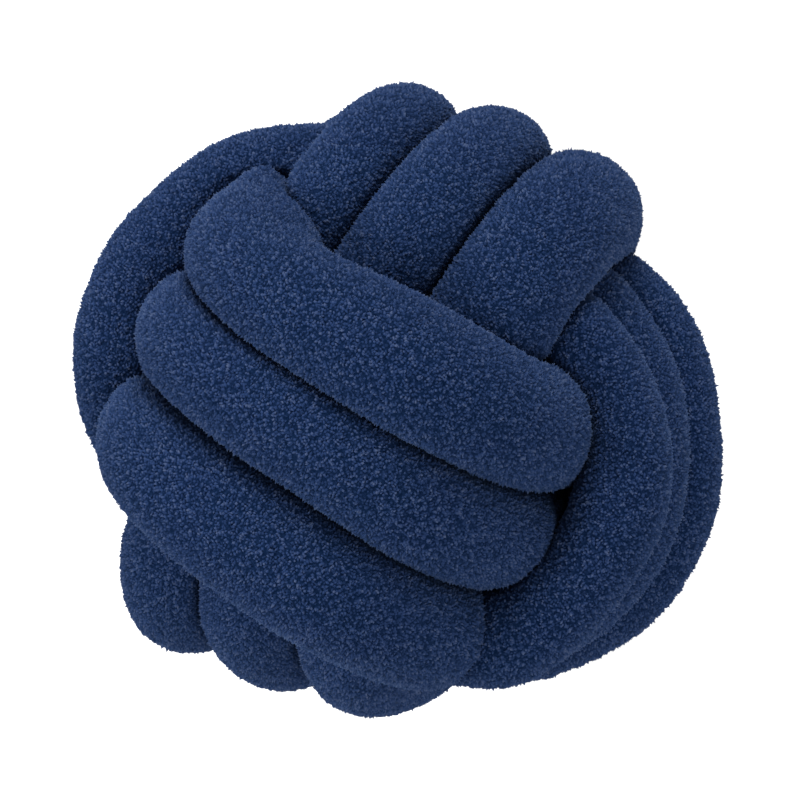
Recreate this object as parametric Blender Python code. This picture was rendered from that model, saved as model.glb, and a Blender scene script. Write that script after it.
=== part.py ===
"""Knot cushion: one stuffed tube of looped-pile cloth, wound into a ball.

The tube makes three ring turns, three side turns and three face turns. Each set of turns
crosses the other two, and both ends of the tube are tucked into the middle of the ball.
The cushion lies on its back: +Z is its front, and +X runs along the strands of the front.
"""
from collections import namedtuple

import bmesh
import bpy
import numpy as np

MM = 0.001

# Driving dimensions, in millimetres.
BALL_CENTRE = (-3.5, 9.0, 152.0)    # the middle of the ball over the floor
PLUMPNESS = 1.06                    # how far the stuffed tube swells past its half width
POINT_SPACING = 6.0                 # between the points of the tube's route
CORE_RADIUS = 75.0                  # fills the middle, hidden below the strands
VOXEL = 4.0                         # grid on which the touching turns become one solid
GROOVE_FILL = 2.0                   # grooves under twice as wide as this close up
SHOULDER = 3.0                      # rounds the edge of the flattened underside
FLAT_BELOW = 0.3                    # what lies lower than this is flat on the floor

TUBE_ROUNDNESS = 6                  # bevel resolution of the tube's round section
CORE_SUBDIVISIONS = 4
SMOOTHING_PASSES = 4
TRIANGLES = 9000                    # of the finished solid

NAVY = (0.017, 0.032, 0.082, 1.0)
ROUGHNESS = 0.95

# The tube passes four stations in each turn, a quarter turn apart. A station lies on one
# side of the ball, and the tube heads for the next side there. Its reach is its distance
# from the middle of the ball, its shift is its place across the set of turns, and
# half_width is half the width of the tube. Fullness is how squarely a turn rounds its
# corners: 0.55 is a circle.
TurnSet = namedtuple("TurnSet", "across fullness stations turns")
Turn = namedtuple("Turn", "name reach shift half_width")
Station = namedtuple("Station", "place heading across reach shift half_width fullness")

RING_TURNS = TurnSet(
    across="+Z",
    fullness=0.66,
    stations=(("+Y", "+X"), ("+X", "-Y"), ("-Y", "-X"), ("-X", "+Y")),
    turns=(
        Turn("ring_1", (84, 134.5, 92.5, 127), (42, 46.5, 49, 42.5), (24, 22.5, 24.5, 27.5)),
        Turn("ring_2", (90.5, 126, 94.5, 124), (10, -2, -3, -10), (26.5, 28, 27, 26)),
        Turn("ring_3", (95.5, 137, 102.5, 121), (-32.5, -39, -56, -58), (25.5, 25, 27, 26)),
    ),
)
# The last side turn leaves for the face turns before it reaches the back.
SIDE_TURNS = TurnSet(
    across="+X",
    fullness=0.62,
    stations=(("+Y", "+Z"), ("+Z", "-Y"), ("-Y", "-Z"), ("-Z", "+Y")),
    turns=(
        Turn("side_1", (110.5, 78.5, 147, 87), (-63.5, -57.5, -38, -28.5), (26, 24.5, 24.5, 26)),
        Turn("side_2", (124, 85, 134.5, 88.5), (-19.5, -14.5, 12, 23), (26, 27.5, 26.5, 26)),
        Turn("side_3", (123.5, 85.5, 120), (28.5, 41.5, 59), (29.5, 31, 25.5)),
    ),
)
FACE_TURNS = TurnSet(
    across="+Y",
    fullness=0.70,
    stations=(("-Z", "-X"), ("-X", "+Z"), ("+Z", "+X"), ("+X", "-Z")),
    turns=(
        Turn("face_3", (132.5, 87, 131, 85.5), (-84, -67, -63.5, -69), (28, 26.5, 30, 30)),
        Turn("face_2", (132.5, 94, 132.5, 85), (-29, -16.5, -5, -16.5), (27, 28.5, 30, 28)),
        Turn("face_1", (132.5, 91, 135.5, 83), (27.5, 40, 42, 39.5), (27, 33, 31.5, 29)),
    ),
)

# Both ends of the tube are hidden inside the ball.
TUCKED_START = Station(
    place=np.array([-75.0, 40, 20]), heading="+Y", across="+X",
    reach=60, shift=30, half_width=20, fullness=RING_TURNS.fullness,
)
TUCKED_END = Station(
    place=np.array([30.0, 55, -60]), heading="-X", across="+Y",
    reach=60, shift=50, half_width=23, fullness=FACE_TURNS.fullness,
)

# The first face turn is pinched and pushed aside where it comes out from under the rings.
PINCH_PLACE = np.array([-52.5, 46, 117.5])
PINCH_SPREAD = 35.0
PINCH_NARROWER = 4.5
PINCH_MOVE = np.array([0, -7.0, 0])

CROSSOVER = 0.42                    # the ease with which the tube passes to another set
SIDEWAYS = 1.2                      # less makes the tube drift across its set more steeply
POINTS_PER_QUARTER = 24             # before the route's points are spaced evenly


def direction(name):
    """The unit vector that a name such as -Y stands for."""
    vector = np.zeros(3)
    vector["XYZ".index(name[1])] = 1.0 if name[0] == "+" else -1.0
    return vector


def stations_of(turn_set):
    """The stations of a set of turns, in the order in which the tube passes them."""
    stations = []
    for turn in turn_set.turns:
        sizes = zip(turn_set.stations, turn.reach, turn.shift, turn.half_width)
        for (side, heading), reach, shift, half_width in sizes:
            place = reach * direction(side) + shift * direction(turn_set.across)
            stations.append(Station(place, heading, turn_set.across, reach, shift,
                                    half_width, turn_set.fullness))
    return stations


def tangent(stations, index):
    """Where the tube heads at a station: along its turn, and a little across the set."""
    here = stations[index]
    drift = 0.0
    span = 0.0
    for step in (-1, 1):
        neighbour = index + step
        if not 0 <= neighbour < len(stations):
            continue
        other = stations[neighbour]
        if other.across == here.across:
            drift += step * (other.shift - here.shift)
            span += other.reach * SIDEWAYS
    if span == 0.0:
        return direction(here.heading)
    return direction(here.heading) + drift / span * direction(here.across)


def handles(start, end):
    """How far the curve from one station to the next holds on to each heading."""
    stretch = end.place - start.place
    if start.across != end.across:
        ease = CROSSOVER * np.linalg.norm(stretch)
        return ease, ease
    leaving = start.fullness * abs(stretch @ direction(start.heading))
    arriving = start.fullness * abs(stretch @ direction(end.heading))
    return leaving, arriving


def quarter_turn(stations, index):
    """Points and half widths of the tube from one station up to the next."""
    start, end = stations[index:index + 2]
    leaving, arriving = handles(start, end)
    corners = (
        start.place,
        start.place + leaving * tangent(stations, index),
        end.place - arriving * tangent(stations, index + 1),
        end.place,
    )
    t = np.linspace(0, 1, POINTS_PER_QUARTER, endpoint=False)[:, None]
    weights = ((1 - t) ** 3, 3 * (1 - t) ** 2 * t, 3 * (1 - t) * t ** 2, t ** 3)
    points = sum(weight * corner for weight, corner in zip(weights, corners))
    ease = t[:, 0] ** 2 * (3 - 2 * t[:, 0])
    half_widths = start.half_width + (end.half_width - start.half_width) * ease
    return points, half_widths


def evenly_spaced(points, half_widths, spacing):
    """The same route with its points one spacing apart."""
    lengths = np.linalg.norm(np.diff(points, axis=0), axis=1)
    along = np.concatenate([[0.0], np.cumsum(lengths)])
    stops = np.arange(0.0, along[-1], spacing)
    places = [np.interp(stops, along, points[:, axis]) for axis in range(3)]
    return np.stack(places, axis=1), np.interp(stops, along, half_widths)


def pinched(points, half_widths):
    """The route with the first face turn narrowed where the ring turns press on it."""
    away = np.linalg.norm(points - PINCH_PLACE, axis=1)
    pinch = np.exp(-0.5 * (away / PINCH_SPREAD) ** 2)
    rings_and_sides = len(points) // 2
    pinch[:rings_and_sides] = 0.0
    return points + pinch[:, None] * PINCH_MOVE, half_widths - PINCH_NARROWER * pinch


def tube_route():
    """The tube's middle line from end to end, and half its width along it."""
    stations = [TUCKED_START]
    for turn_set in (RING_TURNS, SIDE_TURNS, FACE_TURNS):
        stations += stations_of(turn_set)
    stations.append(TUCKED_END)
    quarters = [quarter_turn(stations, index) for index in range(len(stations) - 1)]
    points = np.concatenate([points for points, _ in quarters])
    half_widths = np.concatenate([half_widths for _, half_widths in quarters])
    return pinched(*evenly_spaced(points, half_widths, POINT_SPACING))


def round_tube(points, half_widths):
    """A round tube with closed ends on a route in millimetres, fatter by the groove fill."""
    curve = bpy.data.curves.new("tube_route", "CURVE")
    curve.dimensions = "3D"
    curve.bevel_depth = MM
    curve.bevel_resolution = TUBE_ROUNDNESS
    curve.use_fill_caps = True
    spline = curve.splines.new("POLY")
    spline.points.add(len(points) - 1)
    for spot, place, half_width in zip(spline.points, points, half_widths):
        spot.co = (*((place + BALL_CENTRE) * MM), 1.0)
        spot.radius = half_width * PLUMPNESS + GROOVE_FILL
    tube = bpy.data.objects.new("tube_route", curve)
    bpy.context.scene.collection.objects.link(tube)
    return tube


def shaped_mesh(shape):
    """What an object's curve and modifiers come to, as a mesh of its own."""
    bpy.context.view_layer.update()
    depsgraph = bpy.context.evaluated_depsgraph_get()
    return bpy.data.meshes.new_from_object(shape.evaluated_get(depsgraph))


def add_core(mesh):
    """Adds the ball that stands for the packed middle of the knot."""
    bm = bmesh.new()
    bm.from_mesh(mesh)
    core = bmesh.ops.create_icosphere(bm, subdivisions=CORE_SUBDIVISIONS,
                                     radius=CORE_RADIUS * MM)
    bmesh.ops.translate(bm, verts=core["verts"], vec=np.array(BALL_CENTRE) * MM)
    bm.to_mesh(mesh)
    bm.free()


def remesh_on_grid(shape, name):
    remesh = shape.modifiers.new(name, "REMESH")
    remesh.mode = "VOXEL"
    remesh.voxel_size = VOXEL * MM


def press_flat(mesh):
    """Lays the underside flat on the floor, with a soft shoulder round each flat patch."""
    shoulder = SHOULDER * MM
    for vertex in mesh.vertices:
        height = vertex.co.z
        if height <= -shoulder:
            vertex.co.z = 0.0
        elif height < shoulder:
            vertex.co.z = (height + shoulder) ** 2 / (4 * shoulder)


def level_patches(mesh):
    """Brings what all but touches the floor down to it exactly."""
    for vertex in mesh.vertices:
        if vertex.co.z < FLAT_BELOW * MM:
            vertex.co.z = 0.0


def cloth_material():
    material = bpy.data.materials.new("navy_looped_pile")
    material.use_nodes = True
    shader = material.node_tree.nodes["Principled BSDF"]
    shader.inputs["Base Color"].default_value = NAVY
    shader.inputs["Roughness"].default_value = ROUGHNESS
    shader.inputs["Metallic"].default_value = 0.0
    return material


def knotted_tube():
    """The wound ball as one solid: its turns, grown together where they touch."""
    route = round_tube(*tube_route())
    mesh = shaped_mesh(route)
    bpy.data.objects.remove(route)
    add_core(mesh)

    ball = bpy.data.objects.new("knotted_tube", mesh)
    bpy.context.scene.collection.objects.link(ball)
    remesh_on_grid(ball, "one_solid")
    shrink = ball.modifiers.new("back_to_size", "DISPLACE")
    shrink.strength = -GROOVE_FILL * MM
    shrink.mid_level = 0.0
    remesh_on_grid(ball, "even_faces")
    smooth = ball.modifiers.new("smooth", "SMOOTH")
    smooth.iterations = SMOOTHING_PASSES
    ball.data = shaped_mesh(ball)
    ball.modifiers.clear()
    press_flat(ball.data)

    fine_triangles = sum(len(face.vertices) - 2 for face in ball.data.polygons)
    decimate = ball.modifiers.new("fewer_faces", "DECIMATE")
    decimate.ratio = TRIANGLES / fine_triangles
    decimate.use_collapse_triangulate = True
    ball.data = shaped_mesh(ball)
    ball.modifiers.clear()
    level_patches(ball.data)

    ball.data.name = "knotted_tube"
    ball.data.shade_smooth()
    ball.data.materials.append(cloth_material())
    return ball


def main():
    for old in list(bpy.data.objects):
        bpy.data.objects.remove(old)
    knotted_tube()


main()
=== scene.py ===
# %% [markdown]
# # A knot cushion, dressed around its frame
#
# The cushion is one long tube of navy looped-pile cloth. It is stuffed, wound into a ball of three ring
# turns, three side turns and three face turns, and its two ends are tucked inside. The frame that is
# loaded here is the plain solid of that ball. This lesson follows the same winding again, and this time
# it makes every turn as soft stuffed cloth with its pile of small yarn loops.

# %% Load the frame
from collections import namedtuple

import bpy
import numpy as np
from mathutils import Matrix, Vector
from mathutils.bvhtree import BVHTree
from mathutils.kdtree import KDTree


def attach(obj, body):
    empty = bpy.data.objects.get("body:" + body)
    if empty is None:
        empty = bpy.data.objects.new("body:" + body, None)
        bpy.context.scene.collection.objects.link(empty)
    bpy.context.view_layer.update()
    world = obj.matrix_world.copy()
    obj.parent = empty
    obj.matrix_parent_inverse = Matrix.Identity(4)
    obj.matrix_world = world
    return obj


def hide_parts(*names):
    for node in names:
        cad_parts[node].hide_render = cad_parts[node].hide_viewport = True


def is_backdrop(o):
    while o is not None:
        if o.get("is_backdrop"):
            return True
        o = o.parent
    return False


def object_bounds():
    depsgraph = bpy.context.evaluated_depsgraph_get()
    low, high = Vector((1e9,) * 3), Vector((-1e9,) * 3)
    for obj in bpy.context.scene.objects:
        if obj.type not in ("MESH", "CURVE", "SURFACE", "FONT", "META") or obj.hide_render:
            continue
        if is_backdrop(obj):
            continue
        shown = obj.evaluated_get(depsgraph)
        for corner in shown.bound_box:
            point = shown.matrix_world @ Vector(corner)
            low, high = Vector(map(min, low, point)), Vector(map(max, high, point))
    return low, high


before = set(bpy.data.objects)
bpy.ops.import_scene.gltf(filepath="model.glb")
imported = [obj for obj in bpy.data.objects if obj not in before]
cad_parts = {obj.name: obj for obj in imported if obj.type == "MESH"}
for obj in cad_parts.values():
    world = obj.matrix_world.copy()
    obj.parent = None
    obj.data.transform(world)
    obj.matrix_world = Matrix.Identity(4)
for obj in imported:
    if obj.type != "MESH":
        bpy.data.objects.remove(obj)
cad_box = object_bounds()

MM = 0.001                    # metres; sizes are in millimetres where nothing else is said
BALL_CENTRE = np.array([-3.5, 9.0, 152.0])     # the middle of the ball over the floor
print("frame nodes:", sorted(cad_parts))

# %% [markdown]
# ## The camera
#
# The cushion lies on its back, so a camera that shows its face stands nearly over it. It could be turned
# by three angles. Here it is built from three directions instead: the way back to the camera, the
# picture's right and the picture's up. The directions are easy to check against the picture, because
# the strands of the face run along +X.

# %% Place the camera
CAMERA_DISTANCE = 1600.0      # from the middle of the ball
CAMERA_LEAN = 12.0            # degrees off the upright, both towards +X and towards +Y
CAMERA_ROLL = -33.0           # degrees from the picture's level line to the strands of the face
AIM_BELOW = 1.5               # the ball sits a little high in the picture
SENSOR = 36.0                 # the width of the camera's film
LENS = 144.0                  # its focal length


def unit(vectors):
    """The same directions with a length of one."""
    return vectors / np.linalg.norm(vectors, axis=-1, keepdims=True)


lean = np.sin(np.radians(CAMERA_LEAN))
camera_back = np.array([lean, lean, np.sqrt(1 - 2 * lean ** 2)])
level = unit(np.array([1.0, 0, 0]) - lean * camera_back)
upright = np.cross(camera_back, level)
cos_roll, sin_roll = np.cos(np.radians(CAMERA_ROLL)), np.sin(np.radians(CAMERA_ROLL))
camera_right = cos_roll * level - sin_roll * upright
camera_up = sin_roll * level + cos_roll * upright
camera_place = BALL_CENTRE - AIM_BELOW * camera_up + CAMERA_DISTANCE * camera_back


def faced(place, right, up, back):
    """The matrix of a thing in millimetres that looks against back."""
    turn = Matrix(np.stack([right, up, back], axis=1).tolist()).to_4x4()
    return Matrix.Translation(Vector(place * MM)) @ turn


def link(name, data):
    """Puts a mesh, a lamp or a camera into the scene."""
    made = bpy.data.objects.new(name, data)
    bpy.context.scene.collection.objects.link(made)
    return made


lens = bpy.data.cameras.new("camera")
lens.sensor_width = SENSOR
lens.lens = LENS
camera = link("camera", lens)
camera.matrix_world = faced(camera_place, camera_right, camera_up, camera_back)
bpy.context.scene.camera = camera
print("camera stands at", np.round(camera_place).tolist(), "mm")

# %% [markdown]
# ## The winding
#
# A maker winds the tube round three axes in turn. In each turn the tube passes four stations, one on
# each side of the ball, and a smooth curve leads from one station to the next. The winding could also
# be drawn by hand as one long curve, but a table of stations says the same in few numbers, and the frame
# was wound from this same table.
#
# A station has a reach, its distance from the middle of the ball, a shift, its place across its set of
# turns, and a half width, half the width of the stuffed tube there. Fullness is how squarely a turn
# rounds its corners.

# %% The stations of the nine turns
TurnSet = namedtuple("TurnSet", "across fullness stations turns")
Turn = namedtuple("Turn", "name reach shift half_width")
Station = namedtuple("Station", "place heading across reach shift half_width fullness")

RING_TURNS = TurnSet(
    across="+Z",
    fullness=0.66,
    stations=(("+Y", "+X"), ("+X", "-Y"), ("-Y", "-X"), ("-X", "+Y")),
    turns=(
        Turn("ring_1", (84, 134.5, 92.5, 127), (42, 46.5, 49, 42.5), (24, 22.5, 24.5, 27.5)),
        Turn("ring_2", (90.5, 126, 94.5, 124), (10, -2, -3, -10), (26.5, 28, 27, 26)),
        Turn("ring_3", (95.5, 137, 102.5, 121), (-32.5, -39, -56, -58), (25.5, 25, 27, 26)),
    ),
)
# The last side turn leaves for the face turns before it reaches the back.
SIDE_TURNS = TurnSet(
    across="+X",
    fullness=0.62,
    stations=(("+Y", "+Z"), ("+Z", "-Y"), ("-Y", "-Z"), ("-Z", "+Y")),
    turns=(
        Turn("side_1", (110.5, 78.5, 147, 87), (-63.5, -57.5, -38, -28.5), (26, 24.5, 24.5, 26)),
        Turn("side_2", (124, 85, 134.5, 88.5), (-19.5, -14.5, 12, 23), (26, 27.5, 26.5, 26)),
        Turn("side_3", (123.5, 85.5, 120), (28.5, 41.5, 59), (29.5, 31, 25.5)),
    ),
)
FACE_TURNS = TurnSet(
    across="+Y",
    fullness=0.70,
    stations=(("-Z", "-X"), ("-X", "+Z"), ("+Z", "+X"), ("+X", "-Z")),
    turns=(
        Turn("face_3", (132.5, 87, 131, 85.5), (-84, -67, -63.5, -69), (28, 26.5, 30, 30)),
        Turn("face_2", (132.5, 94, 132.5, 85), (-29, -16.5, -5, -16.5), (27, 28.5, 30, 28)),
        Turn("face_1", (132.5, 91, 135.5, 83), (27.5, 40, 42, 39.5), (27, 33, 31.5, 29)),
    ),
)
# Both ends of the tube are hidden inside the ball.
TUCKED_START = Station(
    place=np.array([-75.0, 40, 20]), heading="+Y", across="+X",
    reach=60, shift=30, half_width=20, fullness=RING_TURNS.fullness,
)
TUCKED_END = Station(
    place=np.array([30.0, 55, -60]), heading="-X", across="+Y",
    reach=60, shift=50, half_width=23, fullness=FACE_TURNS.fullness,
)


def direction(name):
    """The unit vector that a name such as -Y stands for."""
    vector = np.zeros(3)
    vector["XYZ".index(name[1])] = 1.0 if name[0] == "+" else -1.0
    return vector


def stations_of(turn_set):
    """The stations of a set of turns, in the order in which the tube passes them."""
    stations = []
    for turn in turn_set.turns:
        sizes = zip(turn_set.stations, turn.reach, turn.shift, turn.half_width)
        for (side, heading), reach, shift, half_width in sizes:
            place = reach * direction(side) + shift * direction(turn_set.across)
            stations.append(Station(place, heading, turn_set.across, reach, shift,
                                    half_width, turn_set.fullness))
    return stations


stations = [TUCKED_START]
for turn_set in (RING_TURNS, SIDE_TURNS, FACE_TURNS):
    stations += stations_of(turn_set)
    print("turns across", turn_set.across, "are", [turn.name for turn in turn_set.turns])
stations.append(TUCKED_END)
print("stations:", len(stations))

# %% [markdown]
# ## From station to station
#
# In each quarter turn the tube swings from one heading into the next. A quarter of a circle would do for
# a perfectly round ball, but a knot is fuller at its corners. So each quarter is a Bezier curve: it
# leaves along one station's heading and arrives along the next one's, and the lengths of its two handles
# set how full the corner is.

# %% Draw the quarter turns
CROSSOVER = 0.42          # the ease with which the tube passes to another set of turns
SIDEWAYS = 1.2            # less makes the tube drift across its set more steeply
QUARTER_POINTS = 48       # points of the curve between two stations


def tangent(index):
    """Where the tube heads at a station: along its turn, and a little across the set."""
    here = stations[index]
    drift = 0.0
    span = 0.0
    for step in (-1, 1):
        neighbour = index + step
        if not 0 <= neighbour < len(stations):
            continue
        other = stations[neighbour]
        if other.across == here.across:
            drift += step * (other.shift - here.shift)
            span += other.reach * SIDEWAYS
    if span == 0.0:
        return direction(here.heading)
    return direction(here.heading) + drift / span * direction(here.across)


def handles(start, end):
    """How far the curve from one station to the next holds on to each heading."""
    stretch = end.place - start.place
    if start.across != end.across:
        ease = CROSSOVER * np.linalg.norm(stretch)
        return ease, ease
    leaving = start.fullness * abs(stretch @ direction(start.heading))
    arriving = start.fullness * abs(stretch @ direction(end.heading))
    return leaving, arriving


def quarter_turn(index):
    """Points and half widths of the tube from one station up to the next."""
    start, end = stations[index:index + 2]
    leaving, arriving = handles(start, end)
    corners = (
        start.place,
        start.place + leaving * tangent(index),
        end.place - arriving * tangent(index + 1),
        end.place,
    )
    t = np.linspace(0, 1, QUARTER_POINTS, endpoint=False)[:, None]
    weights = ((1 - t) ** 3, 3 * (1 - t) ** 2 * t, 3 * (1 - t) * t ** 2, t ** 3)
    points = sum(weight * corner for weight, corner in zip(weights, corners))
    ease = t[:, 0] ** 2 * (3 - 2 * t[:, 0])
    return points, start.half_width + (end.half_width - start.half_width) * ease


quarters = [quarter_turn(index) for index in range(len(stations) - 1)]
drawn_route = np.concatenate([points for points, _ in quarters])
drawn_widths = np.concatenate([half_widths for _, half_widths in quarters])
print("points of the drawn route:", len(drawn_route))

# %% [markdown]
# ## Even steps along the tube
#
# The curves bunch their points near the stations. The skin of the tube needs rings that are evenly
# spaced, as the stitches of a knitted sleeve would be, so the route is walked again in equal steps. The
# first face turn is pinched where it comes out from under the rings: it is narrower there and pushed
# aside.

# %% Walk the route in equal steps
RING_STEP = 4.0                               # between the rings of points round the tube
PINCH_PLACE = np.array([-52.5, 46, 117.5])
PINCH_SPREAD = 35.0
PINCH_NARROWER = 4.5
PINCH_MOVE = np.array([0, -7.0, 0])

lengths = np.linalg.norm(np.diff(drawn_route, axis=0), axis=1)
along = np.concatenate([[0.0], np.cumsum(lengths)])
stops = np.arange(0.0, along[-1], RING_STEP)
route = np.stack([np.interp(stops, along, drawn_route[:, axis]) for axis in range(3)], axis=1)
half_widths = np.interp(stops, along, drawn_widths)

pinch = np.exp(-0.5 * (np.linalg.norm(route - PINCH_PLACE, axis=1) / PINCH_SPREAD) ** 2)
pinch[:len(pinch) // 2] = 0.0                 # the rings and side turns aren't pinched
route = route + pinch[:, None] * PINCH_MOVE
half_widths = half_widths - PINCH_NARROWER * pinch
print("tube length:", round(along[-1] * MM, 2), "m in", len(route), "rings")

# %% [markdown]
# ## Uneven, but without a pattern
#
# The filling is never quite even, so a stuffed tube swells and sinks a little along its way, and its
# pile stands in clumps. A painted texture could do that, but its pattern would repeat. A few sine waves
# in random directions, added up, give gentle lumps that never repeat, and their slope is known too.

# %% A sum of waves for everything uneven
Lumps = namedtuple("Lumps", "size seed")
STUFFING = Lumps(size=95.0, seed=1)      # of the filling
CLUMP = Lumps(size=11.0, seed=21)        # of the clumps of pile, which the cloth follows too
WAVES = 14
WAVES_PER_SIZE = (0.7, 1.4)              # the fewest and the most that fit into one size
TYPICAL_HEIGHT = 0.6                     # so that nearly all of the sum stays between -1 and 1


def wave_set(lumps):
    """Wave vectors and starting phases of waves about as long as the lumps' size."""
    rng = np.random.default_rng(lumps.seed)
    headings = unit(rng.normal(size=(WAVES, 3)))
    rates = 2 * np.pi / lumps.size * rng.uniform(*WAVES_PER_SIZE, WAVES)
    return headings * rates[:, None], rng.uniform(0, 2 * np.pi, WAVES)


def uneven(points, lumps):
    """Smooth random numbers of about -1 to 1 at points. A lump is about half of size across."""
    waves, phases = wave_set(lumps)
    return np.sin(points @ waves.T + phases).sum(axis=-1) * np.sqrt(2 / WAVES) * TYPICAL_HEIGHT


def uphill(points, lumps):
    """The slope of uneven() at points."""
    waves, phases = wave_set(lumps)
    return np.cos(points @ waves.T + phases) @ waves * np.sqrt(2 / WAVES) * TYPICAL_HEIGHT


print("filling at eight places of the tube:", np.round(uneven(route[::200], STUFFING), 1).tolist())

# %% [markdown]
# ## Spokes round the tube
#
# The skin is drawn by spokes, as the rim of a wheel is: at every step of the route they reach from the
# middle of the tube to its cloth. Nearly all of them point out of the ball, because the side of the tube
# that faces inwards is never seen and needs only three. A curve with a round bevel would be quicker to
# make, but it can't be pressed flat on one side.

# %% Place the spokes, and let the tube swell
PLUMPNESS = 1.06              # how far the stuffed tube swells past its half width
SHOWING = 140.0               # degrees to either side of outward that may show
SPOKES_SHOWING = 39
SPOKES_BEHIND = 3
STUFFING_LIFT = 0.9           # of the skin, by the lumps of the filling
CLUMP_LIFT = 0.4

showing = np.linspace(-SHOWING, SHOWING, SPOKES_SHOWING)
behind = np.linspace(SHOWING, 360 - SHOWING, SPOKES_BEHIND + 2)[1:-1]
angles = np.radians(np.concatenate([showing, behind]))

heading = unit(np.gradient(route, axis=0))
outward = unit(route - (route * heading).sum(axis=1, keepdims=True) * heading)
sideways = np.cross(heading, outward)
spokes = (outward[:, None] * np.cos(angles)[None, :, None]
          + sideways[:, None] * np.sin(angles)[None, :, None])

round_reach = half_widths[:, None] * PLUMPNESS
round_skin = route[:, None] + spokes * round_reach[..., None]
stuffing = uneven(round_skin, STUFFING)
clumps = uneven(round_skin, CLUMP)
round_reach = round_reach + STUFFING_LIFT * stuffing + CLUMP_LIFT * clumps
print("rings by spokes:", round_reach.shape)

# %% [markdown]
# ## Turns that press on each other
#
# A stuffed tube is round where nothing touches it. Where two turns press on each other they share the
# room between them, and the cloth goes flat along the line where they meet. A cloth simulation could
# find that, but nine turns of tube packed this tightly would need many minutes. So each spoke from the
# middle of the tube simply stops where the neighbour's share of the room begins. A soft minimum rounds
# the edge of each pressed place.

# %% Stop the spokes at the neighbours
SAME_BEND = 2.2               # in half widths along the tube: nearer than this is no neighbour
LEAST_FACING = 1e-6           # a spoke that heads for a neighbour less than this never meets it
ROUNDING = 2.5                # of the edge of a pressed place
LEAST_REACH = 1.5             # no spoke ends nearer to the middle of the tube
PRESSED_BY = 3.0              # a spoke that is shorter by this counts as pressed


def soft_minimum(first, second, rounding):
    """The smaller of two numbers, eased where they are nearly equal."""
    least = np.minimum(first, second)
    apart = np.abs(first - second)
    return least - rounding * np.log1p(np.exp(-apart / rounding))


def pressed(index):
    """The reach of a ring's spokes, each stopped at the nearest neighbour's share of the room."""
    near = SAME_BEND * half_widths.mean() / RING_STEP
    gaps = route - route[index]
    distance = np.linalg.norm(gaps, axis=1)
    far_along = np.abs(np.arange(len(route)) - index) > near
    others = far_along & (distance < 2 * half_widths.max() * PLUMPNESS)
    if not others.any():
        return round_reach[index]
    own, theirs = half_widths[index] * PLUMPNESS, half_widths[others] * PLUMPNESS
    share = 0.5 * (distance[others] ** 2 + own ** 2 - theirs ** 2)
    facing = spokes[index] @ gaps[others].T
    meets_at = share / np.maximum(facing, LEAST_FACING)
    stop = np.where(facing > LEAST_FACING, meets_at, np.inf).min(axis=1)
    return soft_minimum(round_reach[index], stop, ROUNDING)


reach = np.stack([pressed(index) for index in range(len(route))])
reach = np.maximum(reach, LEAST_REACH)
skin = route[:, None] + spokes * reach[..., None]
print("share of the spokes that are pressed:", round(float((reach < round_reach - PRESSED_BY).mean()), 2))

# %% [markdown]
# ## Nine lengths of cloth
#
# The real tube is one piece. Here it is made in nine lengths, one for each turn, which meet where
# another turn covers them. A single mesh would do as well, but shorter ones are easier to handle, and
# each keeps enough of its own texture map.

# %% Where each length starts and ends
LENGTH_STARTS = (              # name, station at which it starts
    ("ring_1", 0), ("ring_2", 5), ("ring_3", 9),
    ("side_1", 14), ("side_2", 18), ("side_3", 22),
    ("face_3", 25), ("face_2", 29), ("face_1", 33),
)
names = [name for name, _ in LENGTH_STARTS]
station_rings = np.searchsorted(stops, along[::QUARTER_POINTS])
starts = [int(station_rings[station]) for _, station in LENGTH_STARTS]
ends = starts[1:] + [len(route) - 1]
print("rings in each length:", [end - start for start, end in zip(starts, ends)])
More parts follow.
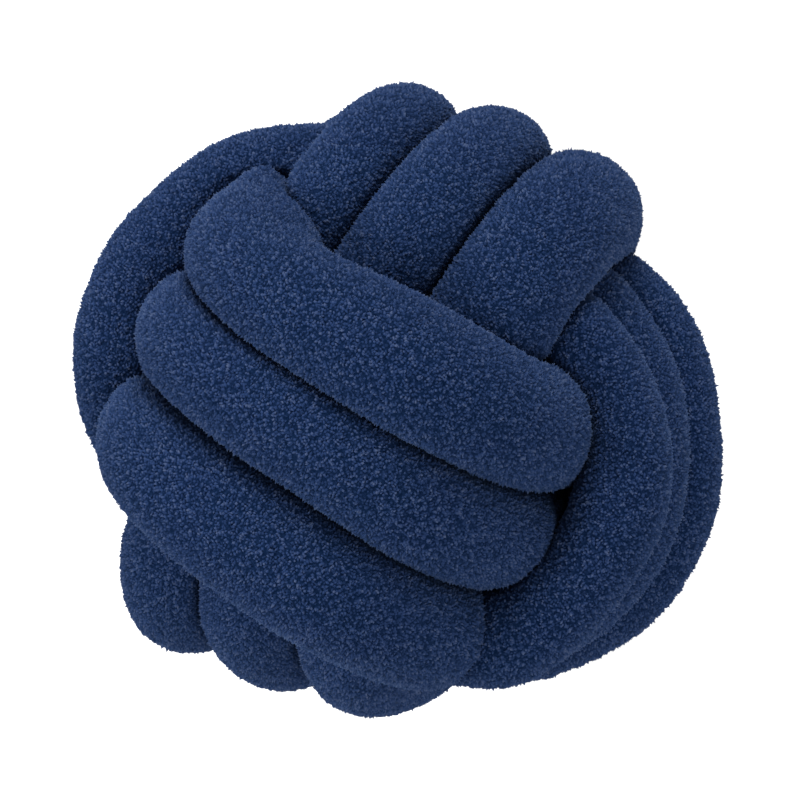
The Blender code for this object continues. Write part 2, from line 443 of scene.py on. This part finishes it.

# %% [markdown]
# ## Nudges
#
# A tube that is wound by hand never lies quite where a table puts it, and its cloth creases. Where the
# first face turn comes out from under the ring it has a corner, which round rings can't give, and on the
# right the turns have settled by a few millimetres. The run from the last side turn to the face is
# pulled in further, because it lies deep under the ring turns. So the skin is nudged in a few places, as
# a maker pats a cushion into shape. Each nudge moves the skin of one turn: most at its place, and hardly
# at all three spreads away from it.

# %% Settle the turns
Nudge = namedtuple("Nudge", "turn place spread move")
NUDGES = (
    # The first face turn: a hollow before the corner, the corner, and the edge that runs down from it.
    Nudge("face_1", (-115.0, 54.0, 68.0), 18.0, (4.1, -1.7, -0.5)),
    Nudge("face_1", (-102.0, 71.0, 64.0), 8.0, (-2.6, 3.6, -0.3)),
    Nudge("face_1", (-89.0, 75.0, 62.0), 7.0, (-1.4, -2.9, 0.9)),
    Nudge("face_1", (-60.0, 64.0, 98.0), 14.0, (1.1, 3.9, -1.1)),
    # The face turns' other ends: the first stops short of the ring, the others go on under it.
    Nudge("face_1", (100.0, 50.0, 66.0), 26.0, (-1.8, -1.1, 0.6)),
    Nudge("face_2", (104.0, -2.0, 58.0), 24.0, (4.8, 1.0, -1.2)),
    Nudge("face_3", (107.0, -65.0, 77.0), 25.0, (3.3, 2.0, -1.1)),
    # The first ring turn has settled inwards on the right.
    Nudge("ring_1", (133.0, 68.0, 40.0), 32.0, (-3.3, -2.0, 1.1)),
    Nudge("ring_1", (160.0, -15.0, 40.0), 40.0, (-4.9, 0.5, 0.9)),
    # It dips where it passes under other turns.
    Nudge("ring_1", (110.0, 42.0, 69.0), 10.0, (1.2, 1.0, -3.6)),
    Nudge("ring_1", (97.0, 65.0, 70.0), 10.0, (1.2, 1.0, -3.6)),
    Nudge("ring_1", (77.0, 79.0, 68.0), 10.0, (1.2, 1.0, -3.6)),
    # At the lower right and on the left it has shifted by one to three millimetres.
    Nudge("ring_1", (106.0, -93.0, 60.0), 13.0, (-1.3, 2.1, -0.2)),
    Nudge("ring_1", (128.0, -78.0, 45.0), 13.0, (1.2, -1.9, 0.2)),
    Nudge("ring_1", (-116.0, -88.0, 58.0), 15.0, (-1.1, -1.8, 0.6)),
    Nudge("ring_1", (-152.0, 0.0, 53.0), 16.0, (-1.4, 0.0, 0.3)),
    Nudge("ring_1", (-146.0, 42.0, 44.0), 20.0, (1.5, -0.4, -0.3)),
    # The second and the third ring turn have settled beside it.
    Nudge("ring_2", (135.0, 68.0, 0.0), 45.0, (-4.1, -2.5, 1.4)),
    Nudge("ring_3", (85.0, 109.0, -38.0), 22.0, (0.8, 2.1, -0.6)),
    Nudge("ring_3", (145.0, 62.0, -38.0), 30.0, (-2.0, -1.2, 0.7)),
    Nudge("ring_3", (164.0, -30.0, -45.0), 25.0, (4.0, -0.6, -0.7)),
    Nudge("ring_3", (124.0, -91.0, -42.0), 12.0, (1.3, -2.1, 0.2)),
    # The way from the last side turn to the face hides under the rings.
    Nudge("side_3", (-103.0, -85.0, -26.0), 24.0, (10.0, 8.2, 0.0)),
    Nudge("face_3", (-103.0, -85.0, 24.0), 24.0, (10.0, 8.2, 0.0)),
)
for nudge in NUDGES:
    which = names.index(nudge.turn)
    turn_skin = skin[starts[which]:ends[which]]
    away = np.linalg.norm(turn_skin - np.array(nudge.place), axis=-1) / nudge.spread
    turn_skin += np.exp(-0.5 * away ** 2)[..., None] * np.array(nudge.move)
print("nudges:", len(NUDGES))

# %% [markdown]
# ## Flat where it rests
#
# The ball lies on the floor with the three turns of its back, and its own weight presses them flat
# there. The frame is pressed in the same way, so both stand on the same three patches.

# %% Press the underside flat
SHOULDER = 3.0                # rounds the edge of the flattened underside


def on_the_floor(points):
    """Points about the middle of the ball, moved over the floor and pressed flat below it."""
    placed = points + BALL_CENTRE
    height = placed[..., 2]
    eased = np.clip(height + SHOULDER, 0, 2 * SHOULDER) ** 2 / (4 * SHOULDER)
    placed[..., 2] = np.where(height < SHOULDER, eased, height)
    return placed


cloth = on_the_floor(skin)
print("lowest point of the cloth:", round(float(cloth[..., 2].min()), 3), "mm")

# %% [markdown]
# ## Which way the skin faces
#
# The loops of the pile stand straight out of the cloth, so at each place it must be known which way the
# cloth faces. Blender could tell that of a finished mesh, but the skin is still a grid of points here.
# Its steps along the tube and its steps round the tube cross, and straight out of both is the answer.

# %% Find the facing of the cloth
NO_LENGTH = 1e-9              # divides in place of a length of zero

rings, spoke_count = cloth.shape[:2]


def grid_normals(grid):
    """Which way the skin faces at each point of its grid."""
    lengthwise = np.gradient(grid, axis=0)
    around = np.roll(grid, -1, axis=1) - np.roll(grid, 1, axis=1)
    facing = np.cross(around, lengthwise)
    facing = facing / np.maximum(np.linalg.norm(facing, axis=-1, keepdims=True), NO_LENGTH)
    return np.where((facing * spokes).sum(axis=-1, keepdims=True) < 0, -facing, facing)


normals = grid_normals(cloth)
print("share of the skin that faces up:", round(float((normals[..., 2] > 0).mean()), 2))

# %% [markdown]
# ## What can be seen
#
# Two thirds of the tube's skin is hidden inside the knot, and detail there would be wasted. To find what
# shows, a few rays leave each place on the skin in all directions above it. The share that gets away is
# how open the place is: 1 on top of a turn, a little in a groove and 0 inside the knot.

# %% How open each place on the skin is
RAY_START = 3.0               # over the cloth
RAY_LENGTH = 600.0
RAY_TILTS = ((0.0, 1), (40.0, 5), (68.0, 7))  # degrees from straight out, and how many rays
RINGS_PER_LOOK = 2            # what the rays of one ring find also counts for the next


def grid_quads(first, last):
    """Corners of the quads between rings first and last of the skin."""
    ring = np.arange(first, last)[:, None]
    spoke = np.arange(spoke_count)[None, :]
    beside = (spoke + 1) % spoke_count
    quads = np.stack([ring * spoke_count + spoke, ring * spoke_count + beside,
                      (ring + 1) * spoke_count + beside, (ring + 1) * spoke_count + spoke], axis=-1)
    return quads.reshape(-1, 4)


def ray_fan():
    """Ray directions above a surface that faces +Z."""
    fan = []
    for tilt, count in RAY_TILTS:
        turns = np.arange(count) * 2 * np.pi / count + tilt    # the tilt also staggers the rays
        high, low = np.cos(np.radians(tilt)), np.sin(np.radians(tilt))
        fan += [(low * np.cos(turn), low * np.sin(turn), high) for turn in turns]
    return np.array(fan)


tree = BVHTree.FromPolygons(cloth.reshape(-1, 3).tolist(), grid_quads(0, rings - 1).tolist())
across = unit(np.cross(normals, heading[:, None]))
fan = ray_fan()
openness = np.zeros((rings, spoke_count))
for ring in range(0, rings, RINGS_PER_LOOK):
    for spoke in range(SPOKES_SHOWING):
        facing = normals[ring, spoke]
        lengthwise = np.cross(across[ring, spoke], facing)
        rays = fan @ np.stack([lengthwise, across[ring, spoke], facing])
        start = Vector(cloth[ring, spoke] + RAY_START * facing)
        blocked = sum(tree.ray_cast(start, Vector(ray), RAY_LENGTH)[0] is not None for ray in rays)
        openness[ring:ring + RINGS_PER_LOOK, spoke] = 1 - blocked / len(fan)
print("share of the skin that shows:", round(float((openness > 0).mean()), 2))

# %% [markdown]
# ## The cloth as meshes
#
# Each length becomes one closed mesh: its rings of points are joined by quads, and a fan of triangles
# closes either end. Rings that show nowhere are left out but for one in three. A long tube makes a poor
# texture map, so its quads are laid on the map in rows, one under the other.

# %% Make the nine lengths
HIDDEN_STRIDE = 3              # of the rings that show nowhere, one in this many is kept
MAP_ROWS = 3                   # a length is cut into this many rows on its texture map
MAP_MARGIN = 0.01
CAP_CORNER = 0.001             # the ends never show, so a speck of the map is enough for them
CAP_MAP = [(0.0, 0.0), (CAP_CORNER, 0.0), (0.0, CAP_CORNER)]


def rings_of(first, last):
    """The rings that a length is made of."""
    shows = openness.max(axis=1) > 0
    return [ring for ring in range(first, last + 1)
            if ring in (first, last) or shows[ring] or (ring - first) % HIDDEN_STRIDE == 0]


def up_the_map(row, spoke):
    """How far up the texture map a spoke of a row lies."""
    return (row + MAP_MARGIN + (1 - 2 * MAP_MARGIN) * spoke / spoke_count) / MAP_ROWS


def length_of_cloth(name, first, last):
    """A closed tube through the rings from first to last, with a texture map laid in rows."""
    picked = rings_of(first, last)
    points = cloth[picked].reshape(-1, 3)
    caps = cloth[[first, last]].mean(axis=1)
    faces = []
    maps = []
    per_row = int(np.ceil((len(picked) - 1) / MAP_ROWS))
    for ring in range(len(picked) - 1):
        row, place = divmod(ring, per_row)
        left, right = place / per_row, (place + 1) / per_row
        for spoke in range(spoke_count):
            beside = (spoke + 1) % spoke_count
            faces.append((ring * spoke_count + spoke, (ring + 1) * spoke_count + spoke,
                          (ring + 1) * spoke_count + beside, ring * spoke_count + beside))
            low, high = up_the_map(row, spoke), up_the_map(row, spoke + 1)
            maps += [(left, low), (right, low), (right, high), (left, high)]
    first_cap, last_cap = len(points), len(points) + 1
    last_ring = (len(picked) - 1) * spoke_count
    for spoke in range(spoke_count):
        beside = (spoke + 1) % spoke_count
        faces.append((first_cap, spoke, beside))
        faces.append((last_cap, last_ring + beside, last_ring + spoke))
        maps += CAP_MAP * 2
    mesh = bpy.data.meshes.new(name)
    mesh.from_pydata((np.concatenate([points, caps]) * MM).tolist(), [], faces)
    mesh.uv_layers.new(name="OFBake").data.foreach_set("uv", np.array(maps).ravel())
    mesh.shade_smooth()
    return link(name, mesh)


cloth_pieces = {}
for name, first, last in zip(names, starts, ends):
    cloth_pieces[name] = length_of_cloth(name + "_cloth", first, last)
faces = [face for piece in cloth_pieces.values() for face in piece.data.polygons]
print("triangles of cloth:", sum(len(face.vertices) - 2 for face in faces))

# %% [markdown]
# ## The pile
#
# Looped pile is yarn that stands up from the cloth in small uncut curls, here about 1.6 mm from one to
# the next. It could be painted as a bump, but then the outline of the cushion would be a smooth line and
# the curls would cast no shadow. So each curl is a small grain of yarn whose top stands out of the cloth.
#
# The curls must be even but not regular. First many more places than needed are thrown at random on the
# skin that shows. Then they are taken one by one, and each that is taken clears the places that are too
# near to it.

# %% Scatter the places of the curls
PILE_SEED = 7
CURL_SPACING = 1.05           # no two curls on an open place are nearer than this
GROOVE_SPACING = 1.3          # times as far apart where hardly any light gets in
WELL_OPEN = 0.3               # a place that is this open is as good as fully open
THROWS_PER_AREA = 2.0         # places thrown on each square millimetre
LEAST_OPEN = 0.005            # no curls stand where it is less open
OPEN_AROUND = 1               # steps of the skin's grid over which an open place counts
BALD_HEIGHT = 1.2             # cloth nearer to the floor has its pile pressed into it

rng = np.random.default_rng(PILE_SEED)


def spread_about(grid, steps):
    """The highest value in each place's neighbourhood."""
    for _ in range(steps):
        for axis in (0, 1):
            grid = np.maximum.reduce([grid, np.roll(grid, 1, axis), np.roll(grid, -1, axis)])
    return grid


nearly_open = spread_about(openness, OPEN_AROUND)


def throw_places():
    """Random places on the skin that shows, as ring and spoke numbers with fractions."""
    corner, ahead = cloth[:-1, :SPOKES_SHOWING - 1], cloth[1:, :SPOKES_SHOWING - 1]
    beside, opposite = cloth[:-1, 1:SPOKES_SHOWING], cloth[1:, 1:SPOKES_SHOWING]
    area = 0.5 * np.linalg.norm(np.cross(opposite - corner, ahead - beside), axis=-1)
    open_cell = nearly_open[:-1, :SPOKES_SHOWING - 1] > LEAST_OPEN
    area = np.where(open_cell, area, 0.0).ravel()
    print("skin to cover:", round(area.sum() * MM ** 2, 3), "square metres")
    count = int(area.sum() * THROWS_PER_AREA)
    cell = np.searchsorted(np.cumsum(area), rng.uniform(0, area.sum(), count))
    cell = np.minimum(cell, len(area) - 1)
    ring, spoke = np.divmod(cell, SPOKES_SHOWING - 1)
    return ring + rng.uniform(0, 1, count), spoke + rng.uniform(0, 1, count)


def read_grid(grid, ring, spoke):
    """What a grid over the skin holds at ring and spoke numbers with fractions."""
    low_ring, low_spoke = ring.astype(int), spoke.astype(int)
    part_ring, part_spoke = ring - low_ring, spoke - low_spoke
    if grid.ndim == 3:
        part_ring, part_spoke = part_ring[:, None], part_spoke[:, None]
    near = grid[low_ring, low_spoke] * (1 - part_ring) + grid[low_ring + 1, low_spoke] * part_ring
    far = grid[low_ring, low_spoke + 1] * (1 - part_ring) + grid[low_ring + 1, low_spoke + 1] * part_ring
    return near * (1 - part_spoke) + far * part_spoke


def thinned(places, spacings):
    """Indices of places of which no two are nearer than the spacing there."""
    finder = KDTree(len(places))
    for index, place in enumerate(places.tolist()):
        finder.insert(place, index)
    finder.balance()
    free = bytearray(b"\x01") * len(places)
    taken = []
    for index, (place, spacing) in enumerate(zip(places.tolist(), spacings.tolist())):
        if not free[index]:
            continue
        taken.append(index)
        for _, other, _ in finder.find_range(place, spacing):
            free[other] = 0
    return np.array(taken)


ring_at, spoke_at = throw_places()
places = read_grid(cloth, ring_at, spoke_at)
above_floor = places[:, 2] > BALD_HEIGHT
ring_at, spoke_at, places = ring_at[above_floor], spoke_at[above_floor], places[above_floor]
shade = 1 - np.clip(read_grid(openness, ring_at, spoke_at) / WELL_OPEN, 0, 1)
spacings = CURL_SPACING * (1 + (GROOVE_SPACING - 1) * shade)
chosen = thinned(places, spacings)
ring_at, spoke_at, places = ring_at[chosen], spoke_at[chosen], places[chosen]
print("thrown:", len(above_floor), " curls:", len(places))

# %% [markdown]
# ## Curls in clumps
#
# Neighbouring curls of wool lean towards each other, so they stand in clumps with darker clefts between,
# and within a clump in smaller tufts. The lumps of the waves serve for both: each curl is pulled up the
# slope of its clump and of its tuft, and stands higher the nearer it is to the middle. Hair that is
# combed by hand could do the same, but it would take long with so many curls.

# %% Pull the curls together
TUFT = Lumps(size=4.2, seed=22)          # of the tufts within a clump
CLUMP_PULL, TUFT_PULL = 0.2, 0.3

count = len(places)
curl_normals = unit(read_grid(normals, ring_at, spoke_at))
curl_open = read_grid(openness, ring_at, spoke_at)
tuft = uneven(places, TUFT)
clump = uneven(places, CLUMP)
pull = CLUMP_PULL * uphill(places, CLUMP) + TUFT_PULL * uphill(places, TUFT)
pull = pull - (pull * curl_normals).sum(axis=1, keepdims=True) * curl_normals
print("furthest pull:", round(float(np.linalg.norm(pull, axis=1).max()), 2), "mm")

# %% [markdown]
# ## One curl
#
# A curl is a grain of yarn with five points and four triangles: its two ends and its two flanks are sunk
# into the cloth, and its top stands up between them. A real loop has a hole, but at this size the eye
# takes only its lit top and its shaded sides. Each curl has its own size, turn, height and lean, and a
# few stray loops stand out further than the rest.

# %% Shape the curls
CURL_HALF_LENGTH = 1.3
CURL_HALF_WIDTH = 0.95
CURL_HEIGHT = 1.05            # of its top over the cloth
CURL_SINK = 0.25              # of its ends and flanks below the cloth
CURL_BEND = 0.75              # of its top to any side
LENGTH_RANGE = (0.65, 1.3)    # of single curls, times the half length
WIDTH_RANGE = (0.75, 1.35)    # times the half width
CLUMP_RISE, TUFT_RISE, CURL_RISE = 0.1, 0.32, 0.4
STRAY_RISE = 1.1              # a few loops are pulled out further than the rest
STRAY_RARITY = 12             # a higher power makes them rarer
LEAST_HEIGHT = 0.2
CROWDED_HEIGHT = 0.6          # share of its height that a curl keeps where it is pressed in a groove
TOP_PULL = 1.5                # the top of a curl is pulled further than its foot
FLOOR_GAP = 0.05

CURL_TRIANGLES = np.array([(0, 3, 1), (0, 2, 3), (0, 4, 2), (0, 1, 4)])

turn = rng.uniform(0, np.pi, count)[:, None]
reference = unit(np.cross(curl_normals, heading[ring_at.astype(int)]))
lie = np.cos(turn) * reference + np.sin(turn) * np.cross(curl_normals, reference)
beside = np.cross(curl_normals, lie)

half_length = CURL_HALF_LENGTH * rng.uniform(*LENGTH_RANGE, count)[:, None]
half_width = CURL_HALF_WIDTH * rng.uniform(*WIDTH_RANGE, count)[:, None]
own = rng.uniform(-1, 1, count)
stray = rng.uniform(0, 1, count) ** STRAY_RARITY
rise = CLUMP_RISE * clump + TUFT_RISE * tuft + CURL_RISE * own + STRAY_RISE * stray
crowding = np.clip(curl_open / WELL_OPEN, CROWDED_HEIGHT, 1.0)
height = (np.maximum(CURL_HEIGHT + rise, LEAST_HEIGHT) * crowding)[:, None]
bend = rng.uniform(-CURL_BEND, CURL_BEND, (2, count, 1))


def curl_points():
    """The five points of every curl: its top, its two ends and its two flanks."""
    foot = places + pull - CURL_SINK * curl_normals
    top = places + TOP_PULL * pull + height * curl_normals + bend[0] * beside + bend[1] * lie
    step = half_length * lie
    flank = half_width * beside
    return np.stack([top, foot - step, foot + step, foot + flank, foot - flank], axis=1)


curls = curl_points()
curls[..., 2] = np.maximum(curls[..., 2], FLOOR_GAP)   # none reaches below the floor
print("highest curl over the cloth:", round(float(height.max()), 2), "mm")

# %% [markdown]
# ## Light and dark yarn, and painted shade
#
# Two numbers travel with every point for the colour: how far up the curl it is, and how light this curl's
# yarn is painted. Most of that lightness is chance, which is the yarn's own tone. Tall curls and the
# middles of tufts and clumps are painted lighter, and this is painted shade on the low curls and in the
# clefts between them. A picture could hold the colours instead, but numbers on the points need no picture
# and stay sharp.

# %% How light each curl is
MIDDLE_LIGHTNESS = 0.48
CHANCE_LIGHTER, TALL_PAINTED_LIGHTER, TUFT_PAINTED_LIGHTER, CLUMP_PAINTED_LIGHTER = 0.29, 0.16, 0.11, 0.03
LIGHTNESS_RANGE = (0.02, 0.98)
UP_THE_CURL = np.array([1.0, 0.08, 0.08, 0.04, 0.04])      # of the top, the ends and the flanks

# Tall curls and the middles of tufts and clumps are painted lighter: painted shade on the low curls and in
# the clefts. Only the chance part is the yarn's own tone.
lightness = MIDDLE_LIGHTNESS + CHANCE_LIGHTER * rng.uniform(-1, 1, count) + TALL_PAINTED_LIGHTER * own
lightness = lightness + TUFT_PAINTED_LIGHTER * tuft + CLUMP_PAINTED_LIGHTER * clump
lightness = np.clip(lightness, *LIGHTNESS_RANGE)
print("lightness of the darkest and the lightest twentieth:", np.quantile(lightness, (0.05, 0.95)).round(2))

# %% [markdown]
# ## Pile for each length
#
# The curls are gathered into one mesh for each length of cloth. Their texture map is a small chart. Across
# it goes the lightness of the yarn together with its painted shade. Up it goes the place on the curl, which
# carries the painted shade at its foot and the painted highlight on its top. All that a curl's colour
# depends on is there, so thousands of curls can share one map.

# %% Gather the curls into meshes
CHART_MARGIN = 0.02
CHART_STEP = 0.004            # so that no triangle is a mere line on the chart
CHART_SIDE = np.array([0, -1, -1, 1, 1])
CURL_POINTS = len(UP_THE_CURL)


def pile_of(name, first, last):
    """All the curls between two rings as one mesh."""
    mine = (ring_at >= first) & (ring_at < last)
    points = curls[mine]
    triangles = (np.arange(len(points))[:, None, None] * CURL_POINTS + CURL_TRIANGLES).reshape(-1, 3)
    mesh = bpy.data.meshes.new(name)
    mesh.from_pydata((points.reshape(-1, 3) * MM).tolist(), [], triangles.tolist())
    light = np.repeat(lightness[mine], CURL_POINTS)
    up = np.tile(UP_THE_CURL, len(points))
    mesh.attributes.new("lightness", "FLOAT", "POINT").data.foreach_set("value", light)
    mesh.attributes.new("up_the_curl", "FLOAT", "POINT").data.foreach_set("value", up)
    shift = np.tile(CHART_STEP * CHART_SIDE, len(points))
    chart = np.stack([light + shift, CHART_MARGIN + (1 - 2 * CHART_MARGIN) * up], axis=1)
    mesh.uv_layers.new(name="OFBake").data.foreach_set("uv", chart[triangles.ravel()].ravel())
    mesh.shade_smooth()
    return link(name, mesh)


pile_pieces = {}
for name, first, last in zip(names, starts, ends):
    pile_pieces[name] = pile_of(name + "_pile", first, last)
print("triangles of pile:", sum(len(piece.data.polygons) for piece in pile_pieces.values()))

# %% [markdown]
# ## Writing a finish as a recipe
#
# A material is a tree of nodes. Built by hand in the node editor it is easy to see but hard to repeat, so
# here it is written as arithmetic. Wire stands for what comes out of a node, and adding or multiplying
# wires adds Math nodes.

# %% Wires and recipes
class Wire:
    """A number inside a material. Arithmetic on it adds the Math nodes that work it out."""

    def __init__(self, recipe, socket):
        self.recipe = recipe
        self.socket = socket

    def maths(self, operation, first, second):
        """One Math node on two wires or numbers."""
        return self.recipe.node("Math", {"operation": operation}, {0: first, 1: second})

    def __add__(self, other):
        return self.maths("ADD", self, other)

    def __sub__(self, other):
        return self.maths("SUBTRACT", self, other)

    def __rsub__(self, other):
        return self.maths("SUBTRACT", other, self)

    def __mul__(self, other):
        return self.maths("MULTIPLY", self, other)

    __radd__ = __add__
    __rmul__ = __mul__


class Recipe:
    """One material and its nodes."""

    def __init__(self, name):
        self.material = bpy.data.materials.new(name)
        self.material.use_nodes = True
        self.tree = self.material.node_tree
        self.surface = self.tree.nodes["Principled BSDF"]

    def feed(self, socket, value):
        """Links a wire to a socket, or sets the socket to a plain value."""
        if isinstance(value, Wire):
            self.tree.links.new(value.socket, socket)
        else:
            socket.default_value = value

    def node(self, kind, settings=None, sockets=None, out=0):
        """Adds a node: its settings first, then the values or wires of its sockets."""
        made = self.tree.nodes.new("ShaderNode" + kind)
        for name, value in (settings or {}).items():
            if name == "stops":
                marks = made.color_ramp.elements
                while len(marks) < len(value):
                    marks.new(1.0)
                for mark, (position, colour) in zip(marks, value):
                    mark.position = position
                    mark.color = (*colour, 1.0)
            else:
                setattr(made, name, value)
        for name, value in (sockets or {}).items():
            self.feed(made.inputs[name], value)
        return Wire(self, made.outputs[out])

    def finish(self, **sockets):
        """Sets the surface shader's own sockets. An underscore in a name stands for a space."""
        for name, value in sockets.items():
            self.feed(self.surface.inputs[name.replace("_", " ")], value)
        return self.material


print("a wire can be added, subtracted and multiplied")

# %% [markdown]
# ## Navy yarn
#
# The yarn is dyed one navy, but it doesn't look like one colour. Deep between the curls hardly any light
# comes back, so the colour there is painted near black as painted shade. The flanks are a plain navy. The
# tops of the curls are painted a pale grey-blue, which is a painted highlight for the light that their fine
# hairs scatter, and also stands for yarn that is lighter by chance. The soft glow that such hairs give at
# the edge of a round thing is what the shader's sheen is for.

# %% The finish of the curls
# Painted light: DEEP_PAINTED_SHADE is painted shade deep between the curls, NAVY is the yarn's own colour,
# and PALE_YARN_AND_PAINTED_HIGHLIGHT is yarn that is lighter by chance together with a painted highlight on
# the tops of the curls.
DEEP_PAINTED_SHADE = (0.0008, 0.0050, 0.0190)
NAVY = (0.0108, 0.0232, 0.0665)
PALE_YARN_AND_PAINTED_HIGHLIGHT = (0.0430, 0.0600, 0.1100)
YARN_COLOURS_AND_PAINTED_LIGHT = ((0.0, DEEP_PAINTED_SHADE), (0.5, NAVY), (1.0, PALE_YARN_AND_PAINTED_HIGHLIGHT))
# Painted shade: each curl's colour darkens towards its foot, where its neighbours shade it.
FOOT_PAINTED_SHADE = 0.92             # share of its light that a curl loses at its foot
DARKEST_YARN = 0.15           # shade of yarn that has no lightness at all
FOOT_ROUGHNESS = 0.95
TIP_SMOOTHER = 0.15           # than the foot
WOOL = {                      # it gives back little light as shine, and its hairs glow at the edge
    "Specular_IOR_Level": 0.02,
    "Sheen_Weight": 0.06,
    "Sheen_Roughness": 0.45,
    "Sheen_Tint": (0.30, 0.52, 1.0, 1.0),
}


def curl_finish():
    """Yarn with painted shade at the foot of a curl and a painted highlight on its top."""
    recipe = Recipe("navy_curls")
    up = recipe.node("Attribute", {"attribute_name": "up_the_curl"}, out="Fac")
    light = recipe.node("Attribute", {"attribute_name": "lightness"}, out="Fac")
    # The shade worked out here is painted: dark at a curl's foot and light at its top, times the tone and
    # painted shade of its yarn.
    low = 1 - up
    shade = (1 - FOOT_PAINTED_SHADE * low * low) * (DARKEST_YARN + (1 - DARKEST_YARN) * light)
    colour = recipe.node("ValToRGB", {"stops": YARN_COLOURS_AND_PAINTED_LIGHT}, {"Fac": shade})
    return recipe.finish(Base_Color=colour, Roughness=FOOT_ROUGHNESS - TIP_SMOOTHER * up, **WOOL)


curl_material = curl_finish()
for piece in pile_pieces.values():
    piece.data.materials.append(curl_material)
print("nodes in the curls' finish:", len(curl_material.node_tree.nodes))

# %% [markdown]
# ## The ground of the cloth
#
# Between the curls the knitted ground shows through, crossed by the feet of the loops. Its colour is
# painted darker than the curls as painted shade from the curls over it, and it is painted darker still in
# the low places of its relief. It has the same yarn in it, so the same colours come back in small specks.

# %% The finish of the ground
# Painted shade: the ground's colours are darker than the yarn's navy because the curls shade it.
SHADED = (0.0050, 0.0130, 0.0400)        # navy between the curls
GROUND_SPECKS_AND_PAINTED_SHADE = ((0.3, DEEP_PAINTED_SHADE), (1.0, SHADED))
SPECK = 1.3                   # millimetres from speck to speck
FUZZ = 0.6
SPECK_SHARE = 0.6             # of the ground's relief, the fuzz makes the rest
RELIEF_DEPTH = 0.5
RELIEF_STRENGTH = 0.8
GROUND_ROUGHNESS = 0.98
FUZZ_SMOOTHER = 0.1


def ground_finish():
    """Cloth painted dark as shade under the curls, with small specks of its yarn."""
    recipe = Recipe("navy_ground")
    place = recipe.node("TexCoord", out="Object")
    yarn = recipe.node("TexVoronoi", {"feature": "F1"}, {"Vector": place, "Scale": 1 / (SPECK * MM)})
    fuzz = recipe.node("TexNoise", sockets={"Vector": place, "Scale": 1 / (FUZZ * MM), "Detail": 2.0})
    height = SPECK_SHARE * (1 - yarn) + (1 - SPECK_SHARE) * fuzz
    # Painted shade: the lower the relief of the ground, the darker its colour.
    colour = recipe.node("ValToRGB", {"stops": GROUND_SPECKS_AND_PAINTED_SHADE}, {"Fac": height})
    relief = {"Height": height, "Distance": RELIEF_DEPTH * MM, "Strength": RELIEF_STRENGTH}
    bump = recipe.node("Bump", sockets=relief)
    roughness = GROUND_ROUGHNESS - FUZZ_SMOOTHER * fuzz
    return recipe.finish(Base_Color=colour, Roughness=roughness, Normal=bump, **WOOL)


ground_material = ground_finish()
for piece in cloth_pieces.values():
    piece.data.materials.append(ground_material)
print("nodes in the ground's finish:", len(ground_material.node_tree.nodes))

# %% [markdown]
# ## Joining the frame
#
# Every length of cloth is a stuffed piece that rides on the frame's one body and stands for the plain
# solid. Its pile could ride by itself too, but it is part of the same cloth, so it is parented to it.

for name, piece in cloth_pieces.items():
    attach(piece, "root")
    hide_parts("knotted_tube")
    pile = pile_pieces[name]
    pile.parent = piece
    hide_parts("knotted_tube")
print("pieces:", 2 * len(cloth_pieces))

# %% [markdown]
# ## A white table
#
# The cushion lies on a white table that is so large that its edges stay out of the picture. It is a
# single square just below the cushion. A curved backdrop would hide the edge of a small table as well,
# but only from one side, and the cushion is looked at from all sides.

# %% Lay the table
TABLE_SIZE = 6.0              # metres, as is the drop
TABLE_DROP = 0.0003
TABLE_ROUGHNESS = 0.8
WHITE = 0.9

half = TABLE_SIZE / 2
corners = [(x, y, -TABLE_DROP) for x, y in ((-half, -half), (half, -half), (half, half), (-half, half))]
table = bpy.data.meshes.new("table")
table.from_pydata(corners, [], [(0, 1, 2, 3)])
floor = link("table", table)
floor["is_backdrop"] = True
white = Recipe("white_table")
table.materials.append(white.finish(Base_Color=(WHITE, WHITE, WHITE, 1.0), Roughness=TABLE_ROUGHNESS))
print("table:", TABLE_SIZE, "m square")

# %% [markdown]
# ## Studio light
#
# Soft light comes from all sides, out of white surroundings, and three large soft lamps stand round the
# cushion. The strongest two come from the picture's left and top, and a weaker one from its lower right
# opens the shadows that they leave. A single lamp beside the camera would light the face as well, but it
# would fill the grooves between the turns.

# %% Lamps and white surroundings
SKY = 0.8                     # strength of the white surroundings
LAMP_SIZE = 900.0             # side of a lamp, which is square
LAMP_DISTANCE = 1900.0        # from the middle of the ball
# The bearing is in the picture, where 0 is right and 90 is up. The tilt is from the camera's axis.
Lamp = namedtuple("Lamp", "name bearing tilt power")
LAMPS = (
    Lamp("left", 180.0, 60.0, 39.0),
    Lamp("top", 90.0, 60.0, 43.0),
    Lamp("lower_right", 300.0, 35.0, 28.0),
)

for lamp in LAMPS:
    light = bpy.data.lights.new(lamp.name, "AREA")
    light.size = LAMP_SIZE * MM
    light.energy = lamp.power
    bearing, tilt = np.radians(lamp.bearing), np.radians(lamp.tilt)
    out_in_picture = np.cos(bearing) * camera_right + np.sin(bearing) * camera_up
    back = np.cos(tilt) * camera_back + np.sin(tilt) * out_in_picture
    edge = unit(np.cross(camera_back, out_in_picture))
    shining = link(lamp.name, light)
    shining.matrix_world = faced(BALL_CENTRE + LAMP_DISTANCE * back, edge, np.cross(back, edge), back)

world = bpy.data.worlds.new("surroundings")
world.use_nodes = True
background = world.node_tree.nodes["Background"]
background.inputs["Color"].default_value = (1.0, 1.0, 1.0, 1.0)
background.inputs["Strength"].default_value = SKY
bpy.context.scene.world = world
bpy.context.scene.view_settings.view_transform = "Standard"
print("lamps:", [lamp.name for lamp in LAMPS])

# %% [markdown]
# ## Sizes, and the end
#
# The dressed cushion is made to fill the same box as its frame. How far each corner of its box differs from
# the frame's is printed.

# %% Print the sizes and finish
dressed_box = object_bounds()
for corner in (0, 1):
    grown = [round((dressed - cad) / MM, 1) for dressed, cad in zip(dressed_box[corner], cad_box[corner])]
    print("corner", corner, "differs by", grown, "mm")
